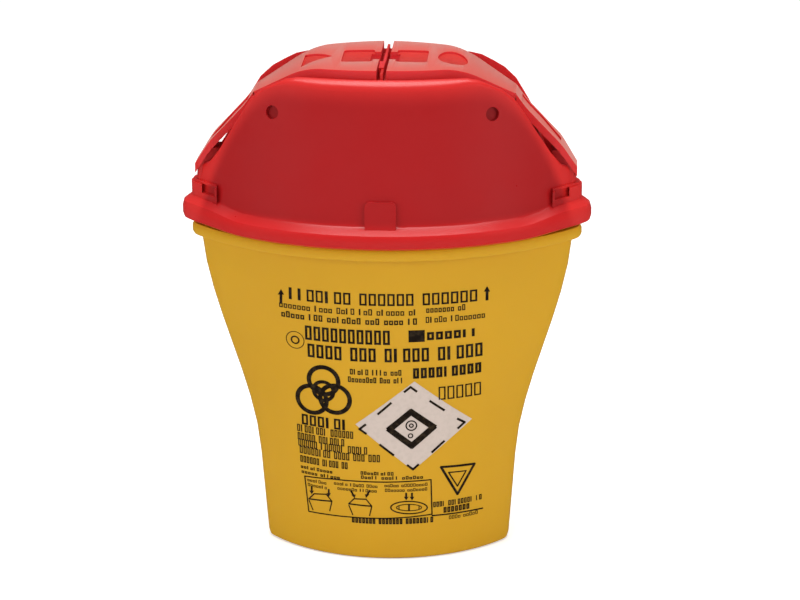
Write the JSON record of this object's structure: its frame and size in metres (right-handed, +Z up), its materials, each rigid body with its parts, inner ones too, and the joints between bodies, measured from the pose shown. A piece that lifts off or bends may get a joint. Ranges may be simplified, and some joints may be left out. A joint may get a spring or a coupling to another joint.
{
  "type": "pocket sharps container",
  "caption": "Pocket sharps container: flared flat tub with a snapped-on domed lid and two hinged flaps over its opening.",
  "frame": {"origin": "middle of the base, on the surface it stands on", "axes": "+Z up, +X to the right, the front with the raised pad faces -Y"},
  "size_m": [0.132, 0.071, 0.164],
  "materials": {
    "yellow_plastic": "smooth moulded polypropylene",
    "red_plastic": "smooth moulded polypropylene",
    "red_satin_plastic": "fine satin texture on the flaps' tops"
  },
  "bodies": {
    "container": {"tub": "yellow_plastic", "lid": "red_plastic"},
    "left_flap": {"left_flap": "red_satin_plastic"},
    "right_flap": {"right_flap": "red_satin_plastic"}
  },
  "joints": [
    {"name": "left_flap_hinge", "type": "hinge", "parent": "container", "child": "left_flap", "pos_m": [-0.0415, 0, 0.1535], "axis": [0, -1, 0], "range_deg": [0, 150]},
    {"name": "right_flap_hinge", "type": "hinge", "parent": "container", "child": "right_flap", "pos_m": [0.0415, 0, 0.1535], "axis": [0, 1, 0], "range_deg": [0, 150]}
  ]
}
